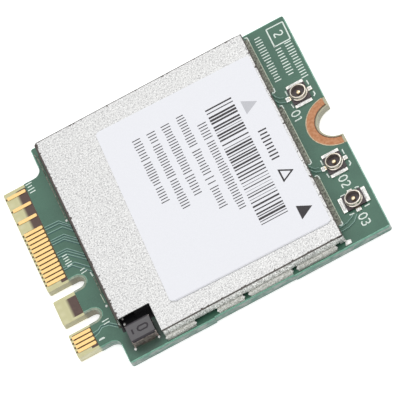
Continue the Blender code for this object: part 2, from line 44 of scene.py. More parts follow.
BOARD_LOW, BOARD_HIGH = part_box("circuit_board")
CAN_LOW, CAN_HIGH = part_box("shield_can")
LABEL_LOW, LABEL_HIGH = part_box("paper_label")
CORE_LOW, CORE_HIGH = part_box("inductor_core")
COAT = BOARD_HIGH.z
COAT_STEP = 0.06 * MM
BARE = COAT - COAT_STEP
# Thin films start this far inside the face that carries them
BED = 0.002 * MM
INK = COAT + 2 * BED
PRINT = LABEL_HIGH.z + BED
# Middle of each antenna socket, and its turn in degrees
SOCKETS = ((28.12, 4.26, 0.0), (28.12, -4.35, 0.0), (28.17, -8.87, 90.0))
NOTCH_X = 30
SLOTS = (-6.625, -2.625)
SLOT_END = 3.4
SLOT_HALF_WIDTH = 0.6
COATING_START = 2.15
# The lid stands out past the shield's wall by this much at the antenna end
LIP = 0.3

MATH = "ShaderNodeMath"
MIX = "ShaderNodeMix"
RANGE = "ShaderNodeMapRange"
NOISE = "ShaderNodeTexNoise"
VECTOR = "ShaderNodeCombineXYZ"
SPLIT = "ShaderNodeSeparateXYZ"


def at(x, y, z):
    """Point on the card, from millimetres in from the tip and across, and a height."""
    return (BOARD_LOW.x + x * MM, y * MM, z)


def on_card(corner):
    """Millimetres in from the tip and across of a corner of a node's box."""
    return (corner.x - BOARD_LOW.x) / MM, corner.y / MM


CAN_LEFT, CAN_FRONT = on_card(CAN_LOW)
CAN_RIGHT, CAN_BACK = on_card(CAN_HIGH)


def srgb(hex_colour):
    """Linear colour of a colour written as on screen."""
    channels = []
    for shift in (16, 8, 0):
        value = ((hex_colour >> shift) & 255) / 255
        channels.append(value / 12.92 if value <= 0.04045 else ((value + 0.055) / 1.055) ** 2.4)
    return (*channels, 1.0)


def add(tree, kind, inputs=(), **settings):
    """Adds one node with its settings. An input takes a value, or is linked to a socket or to
    the first output of a node."""
    made = tree.nodes.new(kind)
    for name, value in settings.items():
        setattr(made, name, value)
    for key, value in dict(inputs).items():
        if isinstance(value, bpy.types.Node):
            value = value.outputs[0]
        if isinstance(value, bpy.types.NodeSocket):
            tree.links.new(value, made.inputs[key])
        else:
            made.inputs[key].default_value = value
    return made


def blank(name, roughness, metallic=0.0, ior=1.5):
    """A new material, and the place of each point on the card for its nodes."""
    made = bpy.data.materials.new(name)
    made.use_nodes = True
    tree = made.node_tree
    shader = tree.nodes["Principled BSDF"]
    shader.inputs["Roughness"].default_value = roughness
    shader.inputs["Metallic"].default_value = metallic
    if not metallic:
        shader.inputs["IOR"].default_value = ior
    return made, tree, add(tree, "ShaderNodeTexCoord").outputs


def toned(made, layers, grain=None, strength=0.4, depth_mm=0.003):
    """Lays tones over one another, each a share of its second colour on its first, so that the
    last is the colour of the finish. A grain stands out in relief."""
    tree = made.node_tree
    shader = tree.nodes["Principled BSDF"]
    tones = {}
    for name, share, under, over in layers:
        first, second = (tones[c] if c in tones else srgb(c) for c in (under, over))
        mixed = add(tree, MIX, {0: share, 6: first, 7: second}, data_type="RGBA")
        tones[name] = mixed.outputs[2]
    tree.links.new(tones[name], shader.inputs["Base Color"])
    if grain:
        bump = {"Strength": strength, "Distance": depth_mm * MM, "Height": grain}
        relief = add(tree, "ShaderNodeBump", bump)
        tree.links.new(relief.outputs[0], shader.inputs["Normal"])
    return made


def inside_box(tree, spot, along, across):
    """One inside a rectangle of the card, given in millimetres, and nothing outside it."""
    within = []
    for axis, start, (low, high) in (("X", BOARD_LOW.x, along), ("Y", 0.0, across)):
        middle = start + (low + high) / 2 * MM
        sides = {0: spot[axis], 1: middle, 2: (high - low) / 2 * MM}
        within.append(add(tree, MATH, sides, operation="COMPARE"))
    return add(tree, MATH, {0: within[0], 1: within[1]}, operation="MULTIPLY")


def coated_laminate():
    """Glass-fibre epoxy laminate under glossy green solder resist. The resist lies on both
    faces from its edge behind the contacts, the bare tongue shows the pale woven laminate,
    and the routed edges show resin and fibre ends."""
    made, tree, place = blank("coated_laminate", 0.38, ior=1.54)
    here = place["Object"]
    spot = add(tree, SPLIT, {0: here}).outputs
    lean = add(tree, SPLIT, {0: place["Normal"]}).outputs
    upright = add(tree, MATH, {0: lean["Z"]}, operation="ABSOLUTE")
    level = add(tree, MATH, {0: upright, 1: 0.5}, operation="GREATER_THAN")
    above = add(tree, MATH, {0: spot["Z"], 1: COAT - COAT_STEP / 2}, operation="GREATER_THAN")
    below = add(tree, MATH, {0: spot["Z"], 1: COAT_STEP / 2}, operation="LESS_THAN")
    coated = add(tree, MATH, {0: above, 1: below}, operation="MAXIMUM")
    # Copper poured under the resist shows as broad lighter fields
    pour = add(tree, NOISE, {"Vector": here, "Scale": 1 / (2.4 * MM), "Detail": 1.0})
    # Resist orange peel, drawn at 0.12 mm so that it shows
    peel = add(tree, NOISE, {"Vector": here, "Scale": 1 / (0.12 * MM), "Detail": 3.0})
    # Fibre ends stand out of the cut as darker chips
    chip = add(tree, NOISE, {"Vector": here, "Scale": 1 / (0.3 * MM), "Detail": 2.0})
    # The routed edge is torn in long patches of resin
    along = add(tree, "ShaderNodeMapping", {"Vector": here, "Scale": (1.0, 1.0, 4.0)})
    patches = {"Vector": along, "Scale": 1 / (1.1 * MM), "Detail": 4.0, "Roughness": 0.6}
    tear = add(tree, NOISE, patches)
    # Glass cloth in the bare laminate: two crossed yarn sets, 0.45 mm apart
    weave = {"Vector": here, "Scale": 1 / (0.45 * MM) / 6.283, "Distortion": 0.6}
    warp = add(tree, "ShaderNodeTexWave", weave, bands_direction="X").outputs["Fac"]
    weft = add(tree, "ShaderNodeTexWave", weave, bands_direction="Y").outputs["Fac"]
    cloth = add(tree, MATH, {0: warp, 1: weft}, operation="MULTIPLY")
    spans = [
        add(tree, "ShaderNodeVectorMath", {0: here, 1: middle}, operation="DISTANCE").outputs["Value"]
        for middle in ((BOARD_HIGH.x, 0.0, COAT / 2), at(6.2, -11.2, COAT))
    ]
    # The drill leaves the laminate round the screw notch dull
    at_notch = add(tree, MATH, {0: spans[0], 1: 2.12 * MM}, operation="LESS_THAN")
    by_land = add(tree, MATH, {0: spans[0], 1: 3.2 * MM}, operation="LESS_THAN")
    in_slots = inside_box(tree, spot, (-0.1, SLOT_END + 0.1), (SLOTS[0] - 0.65, SLOTS[1] + 0.65))
    coating_start = BOARD_LOW.x + COATING_START * MM
    poured, torn, chipped, corner_highlight, tongue, inductor_shade = (
        add(tree, RANGE, {"Value": value, "From Min": start, "From Max": end, "To Max": most})
        for value, start, end, most in (
            (pour, 0.42, 0.58, 1.0),
            (tear, 0.40, 0.62, 1.0),
            (chip, 0.52, 0.68, 0.7),
            # Resist run over the upper corner of the cut, painted light green as the highlight its rounding
            # catches
            (spot["Z"], COAT - 0.16 * MM, COAT - 0.06 * MM, 1.0),
            (spot["X"], coating_start + 0.15 * MM, coating_start - 0.15 * MM, 1.0),
            (spans[1], 2.2 * MM, 1.4 * MM, 0.58),
        )
    )
    # Painted shade under the shield: the top resist is painted near black there, and the shade fades out
    # round the inductor
    under_shield_shade = inside_box(tree, spot, (4.6, 25.2), (-9.8, 12.2))
    wetted = add(tree, MATH, {0: under_shield_shade, 1: inductor_shade}, operation="MAXIMUM")
    painted_shade = add(tree, MATH, {0: wetted, 1: above}, operation="MULTIPLY")
    layers = (
        ("resist", poured, 0x365D4C, 0x3F6855),
        ("peeled resist", peel, "resist", 0x48715F),
        ("laminate", cloth, 0xC7C395, 0xD0CCA2),
        ("dull laminate", by_land, "laminate", 0xB1AE94),
        ("faces", coated, "dull laminate", "peeled resist"),
        ("worn cut", torn, 0x5A8275, 0x97A09A),
        ("routed cut", chipped, "worn cut", 0x5F706B),
        ("cut with corner highlight", corner_highlight, "routed cut", 0x5DA287),
        # Bare resin edge round the tongue and inside its slots
        ("tongue cut", torn, 0xC4C09C, 0xD8D4B4),
        ("outer cut", tongue, "cut with corner highlight", "tongue cut"),
        # The cutter leaves the two key slots and the notch scorched to a grey brown
        ("slot wall", tongue, 0x86836F, 0xB4B08F),
        ("slot cut", in_slots, "outer cut", "slot wall"),
        ("every cut", at_notch, "slot cut", 0x9C9A86),
        ("unshaded board", level, "every cut", "faces"),
        # Painted shade under the shield and round the inductor, near black
        ("board", painted_shade, "unshaded board", 0x1C1C1F),
    )
    return toned(made, layers, peel, 0.25, 0.004)


def grained(name, dark, light, grain_mm, roughness, metallic=0.0, ior=1.5, height_mm=0.003):
    """A finish of two close tones in a fine even grain, with the same grain as relief."""
    made, tree, place = blank(name, roughness, metallic, ior)
    size = {"Vector": place["Object"], "Scale": 1 / (grain_mm * MM), "Detail": 3.0}
    grain = add(tree, NOISE, size)
    spread = add(tree, RANGE, {"Value": grain, "From Min": 0.35, "From Max": 0.65})
    return toned(made, [("grain", spread, dark, light)], grain, depth_mm=height_mm)


def buried_copper():
    """A copper layer inside the bare laminate. Pale resin over it blurs and lightens its edge
    towards the tip, and the resist over its other edge leaves that one sharp."""
    made, tree, place = blank("copper_under_laminate", 0.45)
    here = place["Object"]
    spot = add(tree, SPLIT, {0: here}).outputs
    grain = add(tree, NOISE, {"Vector": here, "Scale": 1 / (0.3 * MM), "Detail": 3.0})
    edge = {"From Min": BOARD_LOW.x + 1.0 * MM, "From Max": BOARD_LOW.x + 1.4 * MM}
    deep = add(tree, RANGE, {"Value": spot["X"], **edge}, interpolation_type="SMOOTHSTEP")
    layers = (("copper", grain, 0x4A3730, 0x5E4740), ("veiled", deep, 0xCCC89C, "copper"))
    return toned(made, layers)


def wiped_gold():
    """Hard gold plating on the contacts, with fine lines wiped along X by the connector."""
    made, tree, place = blank("wiped_hard_gold", 0.3, metallic=1.0)
    stretch = {"Vector": place["Object"], "Scale": (0.06, 1.0, 1.0)}
    drawn_out = add(tree, "ShaderNodeMapping", stretch)
    wipe = add(tree, NOISE, {"Vector": drawn_out, "Scale": 1 / (0.05 * MM), "Detail": 2.0})
    gloss = add(tree, RANGE, {"Value": wipe, "To Min": 0.24, "To Max": 0.42})
    tree.links.new(gloss.outputs[0], tree.nodes["Principled BSDF"].inputs["Roughness"])
    return toned(made, [("gold", wipe, 0xEFBF78, 0xFFDDA0)])


def tinned_sheet():
    """Satin tin on thin steel sheet. Tin crystals give a dense grey speckle. Along the folds a dark brown
    line with small nicks is painted shade and dark reflection of the rounded fold, and the upright walls
    carry painted light of their own."""
    made, tree, place = blank("tinned_sheet_steel", 0.46, metallic=1.0)
    here = place["Object"]
    spot = add(tree, SPLIT, {0: here}).outputs
    lean = add(tree, SPLIT, {0: place["Normal"]}).outputs
    upright = add(tree, MATH, {0: lean["Z"]}, operation="ABSOLUTE")
    cloud = add(tree, NOISE, {"Vector": here, "Scale": 1 / (3.0 * MM), "Detail": 2.0})
    # Crystals are about 0.1 mm across
    crystals = {"Vector": here, "Scale": 1 / (0.13 * MM), "Detail": 3.0, "Roughness": 0.7}
    shine = add(tree, NOISE, crystals)
    speck, bright, high, wall = (
        add(tree, RANGE, {"Value": value, "From Min": start, "From Max": end})
        for value, start, end in (
            (shine, 0.47, 0.32),
            (shine, 0.50, 0.62),
            (spot["Z"], CAN_HIGH.z - 0.2 * MM, CAN_HIGH.z - 0.1 * MM),
            (upright, 0.6, 0.3),
        )
    )
    # Distance in from each of the four folds, from the size of the can
    from_left, from_right, from_front, from_back = (
        add(tree, MATH, {0: far, 1: near}, operation="SUBTRACT")
        for far, near in (
            (spot["X"], CAN_LOW.x), (CAN_HIGH.x + LIP * MM, spot["X"]),
            (spot["Y"], CAN_LOW.y), (CAN_HIGH.y, spot["Y"]),
        )
    )
    from_sides = add(tree, MATH, {0: from_front, 1: from_back}, operation="MINIMUM")
    nick = add(tree, NOISE, {"Vector": here, "Scale": 1 / (0.28 * MM), "Detail": 1.0})
    folded = 0.0
    # The fold by the contacts is widest, and those along the sides carry only a few nicks
    for inset, narrow, wide, least in (
        (from_left, 0.19, 0.46, 0.54), (from_right, 0.1, 0.36, 0.56), (from_sides, 0.08, 0.26, 0.6),
    ):
        nicks = {"Value": nick, "From Min": least, "From Max": 0.78}
        reach = add(tree, RANGE, {**nicks, "To Min": narrow * MM, "To Max": wide * MM})
        past = add(tree, MATH, {0: reach, 1: inset}, operation="SUBTRACT")
        crossed = {"Value": past, "From Min": -0.02 * MM, "From Max": 0.03 * MM}
        folded = add(tree, MATH, {0: folded, 1: add(tree, RANGE, crossed)}, operation="MAXIMUM")
    # Painted shade and dark reflection along the folds, near the lid's top
    fold_shade = add(tree, MATH, {0: folded, 1: high}, operation="MULTIPLY")
    layers = (
        ("ground", cloud, 0xD3D3D2, 0xDADAD9),
        ("lifted", bright, "ground", 0xF0F0EF),
        ("lid", speck, "lifted", 0x98979A),
        # The walls are duller than the lid, with darker specks: painted light of their own, standing in for
        # how light falls on upright faces
        ("wall ground", bright, 0xC3C3C0, 0xFFFFFD),
        ("walls", speck, "wall ground", 0x5D5C59),
        ("sheet", wall, "lid", "walls"),
        ("sheet with fold shade", fold_shade, "sheet", 0x5B5653),
    )
    return toned(made, layers, shine, 0.35, 0.006)


# The finish of each CAD node, and of the print, resist and solder drawn on them
surfaces = {
    "laminate": coated_laminate(),
    "gold": wiped_gold(),
    "tin": tinned_sheet(),
    # Etched foil left bare: dull salmon, clouded where it has oxidised
    "copper": grained("bare_copper", 0xA97554, 0xBC8B6B, 0.25, 0.42, 1.0),
    # Clay-coated label stock: even blue white, hardly any tooth
    "label": grained("coated_label_paper", 0xE8E9EE, 0xECEDF2, 0.08, 0.62, height_mm=0.001),
    # Injection moulded polymer: brown black, satin, faintly streaked by glass
    "moulding": grained("liquid_crystal_polymer", 0x352B2E, 0x463B40, 0.12, 0.42, ior=1.6),
    # Turned and silver plated: bright warm white, with soft tool lines
    "socket": grained("silvered_bronze", 0xD8CDBB, 0xF4EEE4, 0.3, 0.22, 1.0),
    # Thin gold over nickel: pale yellow and bright, mottled where it is thin
    "pin": grained("gold_plated_pin", 0xE9D3A6, 0xFDF0D6, 0.2, 0.25, 1.0),
    # Pressed powder: flat grey with a fine even grit
    "ferrite": grained("pressed_ferrite", 0x403D41, 0x4B484C, 0.07, 0.6, ior=1.9),
    # Fired paste dipped in tin: satin, with pinkish brown thin places
    "terminal": grained("tinned_terminal", 0x9C8D89, 0xD9CAC5, 0.2, 0.5, 1.0),
    # Transfer moulded resin: near black, matt from the spark-cut mould
    "resin": grained("moulded_epoxy", 0x1F1F22, 0x303034, 0.1, 0.55, ior=1.55),
    # Fired ceramic layers: slate grey, fine and even
    "ceramic": grained("module_ceramic", 0x555A61, 0x6A6F76, 0.1, 0.5, ior=1.7),
    # Stamped and welded nickel lid: warm grey, with a soft sheen
    "lid": grained("nickel_lid", 0xB5B1A8, 0xCFCBC2, 0.3, 0.35, 1.0),
    # Fired titanate body: tan, close grained
    "capacitor": grained("barium_titanate", 0x9C7A59, 0xB48F6B, 0.1, 0.5, ior=1.8),
    # Resist over the shoulder of a trace: glossy, so a pale line of light
    "trace": grained("resist_over_trace", 0x7FA398, 0x98BAAE, 0.1, 0.35, ior=1.54),
    # Painted shadow on the resist beside a trace: dark and bluish
    "trace_shade": grained("resist_painted_trace_shadow", 0x2C5150, 0x38605E, 0.1, 0.35, ior=1.54),
    # Resist with no copper under it: a darker green; the same finish is the painted shadow beside the
    # antenna lines
    "trace_dark": grained("resist_over_gap_and_painted_shadow", 0x355A4C, 0x42695A, 0.1, 0.35, ior=1.54),
    # Painted highlight of resist rounded over a routed corner: pale mint, brighter in places
    "edge_light": grained("resist_edge_highlight", 0x72AC95, 0x9CCBB8, 0.4, 0.3, ior=1.54),
    # Screen-printed epoxy ink: matt greenish white, greener where it is thin
    "ink": grained("white_marking_ink", 0xD8E8DE, 0xF2FAF4, 0.12, 0.6),
    # The same ink starved: broken, with the board showing through
    "thin_ink": grained("thin_marking_ink", 0xAEBBA4, 0xD3DBC8, 0.3, 0.6),
    # Thermal transfer print: flat black, a little grey where the ribbon was dry
    "black": grained("label_print_black", 0x2C292C, 0x3A373A, 0.1, 0.6),
    # The same print as a light screen: flat pale grey
    "grey": grained("label_print_grey", 0xBEBFC5, 0xC6C7CC, 0.1, 0.6),
    # Plating bars cut through at the tip: dull brown, burred copper
    "stub": grained("etched_plating_stub", 0x4E4024, 0x6A5833, 0.08, 0.5),
    "buried": buried_copper(),
    # Laminate between the contacts, painted deep brown for the shade the contacts cast and the gold they
    # reflect
    "between": grained("laminate_between_contacts", 0x4E3B1B, 0x624B25, 0.2, 0.5),
    # Laminate left without resist beside a slot: grey green, frayed
    "rim": grained("laminate_beside_slot", 0x7D8B7B, 0xA1AC99, 0.25, 0.5),
    # Resist feathered out on the copper land: a cream haze
    "land_light": grained("thin_resist_on_copper", 0xC2AE8E, 0xDCCBAE, 0.3, 0.4),
    # Copper browned by the heat of the drill
    "land_dark": grained("oxidised_copper", 0x5F4636, 0x7C5C48, 0.2, 0.5),
    # Solder cooled from the melt: bright, smooth and softly clouded
    "solder": grained("reflowed_solder", 0xC9C7C0, 0xF4F3F0, 0.22, 0.25, 1.0),
    # Solder drawn thin up a wall: satin, mottled with the board's grey green
    "wetted": grained("solder_on_board_edge", 0xB4B6AD, 0xF4F4EE, 0.13, 0.45, 0.45),
    # Solder painted near white as a painted highlight for its glints, its metal shine half taken out
    "bright": grained("solder_painted_glint", 0xD6D6D2, 0xFFFFFD, 0.2, 0.3, 0.25),
    # Tinned ground copper under old flux: a khaki grey mottle
    "flux": grained("solder_with_flux", 0x52544A, 0x9C9D90, 0.2, 0.45, 0.4),
    # Painted shadow on the board, beside the shield and under the inductor: dark olive, glossy
    "painted_shadow": grained("painted_shadow", 0x34382F, 0x575A4E, 0.12, 0.4),
    # Ferrite charred by a laser: a darker, rougher line; the same finish paints shade along the inductor's
    # top edges
    "mark": grained("laser_mark_and_edge_shade", 0x29242A, 0x383239, 0.08, 0.6),
}

# Part of a CAD node's name, and its finish
NODE_FINISHES = (
    ("circuit_board", "laminate"), ("contact_", "gold"), ("screw_land", "copper"),
    ("shield_can", "tin"), ("paper_label", "label"), ("_insulator", "moulding"),
    ("_shell", "socket"), ("_pin", "pin"), ("inductor_core", "ferrite"),
    ("inductor_terminal", "terminal"), ("_chip", "resin"), ("front_end", "ceramic"),
    ("reference_crystal", "lid"), ("capacitor", "capacitor"),
)


def dress_nodes():
    """Gives each CAD node its finish."""
    for name, piece in nodes.items():
        finish = next(finish for part, finish in NODE_FINISHES if part in name)
        piece.data.materials.clear()
        piece.data.materials.append(surfaces[finish])


# Sizes of a tree that aren't lengths. The lengths are given in millimetres.
RATIOS = ("Flatness", "Unevenness", "Width_variation", "Length_variation", "Seed")


def in_metres(sizes):
    """The sizes of a tree, with the lengths among them in metres."""
    return {size: value if size in RATIOS else value * MM for size, value in sizes.items()}


def empty_tree(name, **sizes):
    """A tree that takes a mesh, these sizes, a seed and a material."""
    tree = bpy.data.node_groups.new(name, "GeometryNodeTree")
    tree.interface.new_socket("Geometry", in_out="OUTPUT", socket_type="NodeSocketGeometry")
    taken = [("Geometry", "Geometry", None)]
    taken += [(size, "Float", value) for size, value in in_metres(sizes).items()]
    taken += [("Seed", "Int", 4), ("Surface", "Material", None)]
    for socket, kind, value in taken:
        made = tree.interface.new_socket(socket, in_out="INPUT", socket_type="NodeSocket" + kind)
        if value is not None:
            made.default_value = value
    return tree, add(tree, "NodeGroupInput").outputs


def end_tree(tree, given, shape):
    """Every tree ends the same way: instances made real, then their material."""
    real = add(tree, "GeometryNodeRealizeInstances", {0: shape})
    finish = {"Geometry": real, "Material": given["Surface"]}
    add(tree, "NodeGroupOutput", {0: add(tree, "GeometryNodeSetMaterial", finish)})
    return tree


def ribbon_tree():
    """A flat strip, such as a copper trace or an ink line, along each path of edges."""
    tree, given = empty_tree("ribbon", Width=0.1, Thickness=0.02, Corner=0.0)
    path = add(tree, "GeometryNodeMeshToCurve", {"Mesh": given["Geometry"]})
    corner = {"Curve": path, "Radius": given["Corner"], "Count": 5}
    eased = add(tree, "GeometryNodeFilletCurve", corner, mode="POLY")
    flat = add(tree, "GeometryNodeSetCurveNormal", {"Curve": eased}, mode="Z_UP")
    size = {"Width": given["Width"], "Height": given["Thickness"]}
    section = add(tree, "GeometryNodeCurvePrimitiveQuadrilateral", size, mode="RECTANGLE")
    along = {"Curve": flat, "Profile Curve": section, "Fill Caps": True}
    return end_tree(tree, given, add(tree, "GeometryNodeCurveToMesh", along))


def even_curve(tree, given, step):
    """The given edges as curves, with points at even steps."""
    path = add(tree, "GeometryNodeMeshToCurve", {"Mesh": given["Geometry"]})
    return add(tree, "GeometryNodeResampleCurve", {"Curve": path, "Length": step}, mode="LENGTH")


def row_tree():
    """A row of small flat bars across each path, at even steps. A fixed seed varies their
    width and length."""
    tree, given = empty_tree(
        "bar_row", Step=0.4, Bar_width=0.1, Bar_length=0.7, Thickness=0.004,
        Width_variation=0.0, Length_variation=0.0,
    )
    size = add(tree, VECTOR, {0: given["Bar_width"], 1: given["Bar_length"], 2: given["Thickness"]})
    heading = {"Vector": add(tree, "GeometryNodeInputTangent")}
    turn = add(tree, "FunctionNodeAlignEulerToVector", heading, axis="X", pivot_axis="Z")
    scale = {2: 1.0}
    for axis, amount, offset in ((0, "Width_variation", 0.0), (1, "Length_variation", 7.0)):
        chances = {
            2: add(tree, MATH, {0: 1.0, 1: given[amount]}, operation="SUBTRACT"),
            3: add(tree, MATH, {0: 1.0, 1: given[amount]}, operation="ADD"),
            "Seed": add(tree, MATH, {0: given["Seed"], 1: offset}, operation="ADD"),
        }
        ratio = add(tree, "FunctionNodeRandomValue", chances, data_type="FLOAT")
        scale[axis] = ratio.outputs[1]
    spots = {
        "Points": even_curve(tree, given, given["Step"]),
        "Instance": add(tree, "GeometryNodeMeshCube", {"Size": size}),
        "Rotation": turn,
        "Scale": add(tree, VECTOR, scale),
    }
    return end_tree(tree, given, add(tree, "GeometryNodeInstanceOnPoints", spots))


def uneven_width(tree, given):
    """How wide solder runs at each place, as a ratio of its width, from a slow noise."""
    per_lump = add(tree, MATH, {0: 1.0, 1: given["Lump"]}, operation="DIVIDE")
    spot = add(tree, "GeometryNodeInputPosition")
    lumps = {"Vector": spot, "W": given["Seed"], "Scale": per_lump}
    lump = add(tree, NOISE, lumps, noise_dimensions="4D")
    spread = add(tree, MATH, {0: lump, 1: 0.5}, operation="SUBTRACT")
    swing = {0: spread, 1: given["Unevenness"], 2: 1.0}
    return add(tree, MATH, swing, operation="MULTIPLY_ADD")


def bead_tree():
    """A low bead of solder along each path, with rounded ends and an uneven width."""
    tree, given = empty_tree("solder_bead", Radius=0.15, Flatness=0.8, Unevenness=0.25, Lump=0.4)
    fine = even_curve(tree, given, 0.05 * MM)
    run = add(tree, "GeometryNodeSplineParameter").outputs["Length"]
    total = add(tree, "GeometryNodeSplineLength").outputs["Length"]
    left = add(tree, MATH, {0: total, 1: run}, operation="SUBTRACT")
    nearest = add(tree, MATH, {0: run, 1: left}, operation="MINIMUM")
    share = add(tree, MATH, {0: nearest, 1: given["Radius"]}, operation="DIVIDE")
    capped = add(tree, RANGE, {"Value": share, "To Min": 0.04})
    end_round = add(tree, MATH, {0: capped, 1: 0.5}, operation="POWER")
    width = add(tree, MATH, {0: uneven_width(tree, given), 1: end_round}, operation="MULTIPLY")
    upright = add(tree, "GeometryNodeSetCurveNormal", {"Curve": fine}, mode="Z_UP")
    size = {"Resolution": 12, "Radius": given["Radius"]}
    circle = add(tree, "GeometryNodeCurvePrimitiveCircle", size, mode="RADIUS")
    squash = add(tree, VECTOR, {0: 1.0, 1: given["Flatness"], 2: 1.0})
    section = add(tree, "GeometryNodeTransform", {"Geometry": circle, "Scale": squash})
    along = {"Curve": upright, "Profile Curve": section, "Scale": width, "Fill Caps": True}
    bead = add(tree, "GeometryNodeCurveToMesh", along)
    return end_tree(tree, given, add(tree, "GeometryNodeSetShadeSmooth", {"Geometry": bead}))


def fillet_tree():
    """Solder drawn up a wall along each path, hollow between its foot and its top, with
    square ends and an uneven width. The wall is on the left of the path."""
    tree, given = empty_tree("solder_fillet", Reach=0.3, Height=0.4, Unevenness=0.2, Lump=0.6)
    fine = even_curve(tree, given, 0.08 * MM)
    upright = add(tree, "GeometryNodeSetCurveNormal", {"Curve": fine}, mode="Z_UP")
    # Corners of the section, as shares of its reach and height. Up is negative here.
    corners = {}
    for number, (reach, rise) in enumerate(((0.0, 0.0), (0.0, -1.0), (0.36, -0.34), (1.0, 0.0)), 1):
        across = add(tree, MATH, {0: given["Reach"], 1: reach}, operation="MULTIPLY")
        up = add(tree, MATH, {0: given["Height"], 1: rise}, operation="MULTIPLY")
        corners[f"Point {number}"] = add(tree, VECTOR, {0: across, 1: up})
    section = add(tree, "GeometryNodeCurvePrimitiveQuadrilateral", corners, mode="POINTS")
    width = uneven_width(tree, given)
    along = {"Curve": upright, "Profile Curve": section, "Scale": width, "Fill Caps": True}
    return end_tree(tree, given, add(tree, "GeometryNodeCurveToMesh", along))


def disc_tree():
    """A low disc, such as a tented hole or a test land, on every point."""
    tree, given = empty_tree("discs", Radius=0.15, Thickness=0.02)
    size = {"Vertices": 20, "Radius": given["Radius"], "Depth": given["Thickness"]}
    disc = add(tree, "GeometryNodeMeshCylinder", size)
    spots = {"Points": given["Geometry"], "Instance": disc}
    return end_tree(tree, given, add(tree, "GeometryNodeInstanceOnPoints", spots))


def linked(name, data):
    """A new object in the scene."""
    made = bpy.data.objects.new(name, data)
    bpy.context.scene.collection.objects.link(made)
    return made


def seated(made):
    """Sets a finished piece on the card."""
    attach(made, "root")


def drawn(name, tree, finish, slot, height, paths, closed=False, **sizes):
    """A piece that a tree grows on edges through places of the card, all at one height, kept
    as its plain mesh."""
    points = []
    edges = []
    for path in paths:
        first = len(points)
        points += [at(x, y, height) for x, y in path]
        edges += [(first + i, first + i + 1) for i in range(len(path) - 1)]
        if closed:
            edges.append((len(points) - 1, first))
    mesh = bpy.data.meshes.new(name)
    mesh.from_pydata(points, edges, [])
    made = linked(name, mesh)
    step = made.modifiers.new(tree.name, "NODES")
    step.node_group = tree
    values = {"Surface": surfaces[finish], **in_metres(sizes)}
    for socket in tree.interface.items_tree:
        if socket.in_out == "INPUT" and socket.name in values:
            step[socket.identifier] = values[socket.name]
    bpy.context.view_layer.update()
    graph = bpy.context.evaluated_depsgraph_get()
    result = bpy.data.meshes.new_from_object(made.evaluated_get(graph))
    made.modifiers.remove(step)
    made.data = result
    seated(made)


def plates(name, finish, bottom, top, outlines):
    """Thin flat plates, one on each outline."""
    shape = bmesh.new()
    for outline in outlines:
        low = [shape.verts.new(at(x, y, bottom)) for x, y in outline]
        high = [shape.verts.new(at(x, y, top)) for x, y in outline]
        shape.faces.new(low[::-1])
        shape.faces.new(high)
        for i in range(len(outline)):
            j = (i + 1) % len(outline)
            shape.faces.new((low[i], low[j], high[j], high[i]))
    bmesh.ops.recalc_face_normals(shape, faces=shape.faces)
    mesh = bpy.data.meshes.new(name)
    shape.to_mesh(mesh)
    shape.free()
    mesh.materials.append(surfaces[finish])
    seated(linked(name, mesh))


def rectangle(left, right, front, back):
    """Corners of a rectangle of the card."""
    return [(left, front), (right, front), (right, back), (left, back)]


def slot_path(middle, offset):
    """Path round the closed end of a key slot, this far out from its wall."""
    half = SLOT_HALF_WIDTH + offset
    centre = SLOT_END - SLOT_HALF_WIDTH
    turn = [math.pi / 2 - math.pi * step / 16 for step in range(17)]
    bend = [(centre + half * math.cos(angle), middle + half * math.sin(angle)) for angle in turn]
    return [(COATING_START, middle + half), *bend, (COATING_START, middle - half)]


def turned_place(x, y, socket):
    """A place given from the centre of an antenna socket, turned as the socket is."""
    centre_x, centre_y, turn = socket
    angle = math.radians(turn)
    return (
        centre_x + x * math.cos(angle) - y * math.sin(angle),
        centre_y + x * math.sin(angle) + y * math.cos(angle),
    )


# Plain figures drawn as pen strokes on a grid 2 wide and 3 high
FIGURES = {
    "0": [[
        (0.0, 1.5), (0.0, 0.8), (0.6, 0.0), (1.3, 0.0), (1.9, 0.8), (1.9, 2.2), (1.3, 3.0),
        (0.6, 3.0), (0.0, 2.2), (0.0, 1.5),
    ]],
    "1": [[(0.3, 2.3), (1.0, 3.0), (1.0, 0.0)]],
    "2": [[(0.0, 2.4), (0.4, 3.0), (1.4, 3.0), (1.9, 2.4), (1.7, 1.7), (0.0, 0.0), (2.0, 0.0)]],
    "3": [
        [(0.0, 2.8), (0.6, 3.0), (1.5, 3.0), (1.9, 2.3), (1.5, 1.6), (0.8, 1.6)],
        [(1.5, 1.6), (2.0, 1.0), (1.7, 0.1), (0.6, 0.0), (0.0, 0.4)],
    ],
}


def figure(digit, x, y, height):
    """Strokes of a figure whose foot is at a place. Figures stand up along +X and read
    towards -Y, as the marks on the card do."""
    unit = height / 3
    return [[(x + v * unit, y - u * unit) for u, v in stroke] for stroke in FIGURES[digit]]


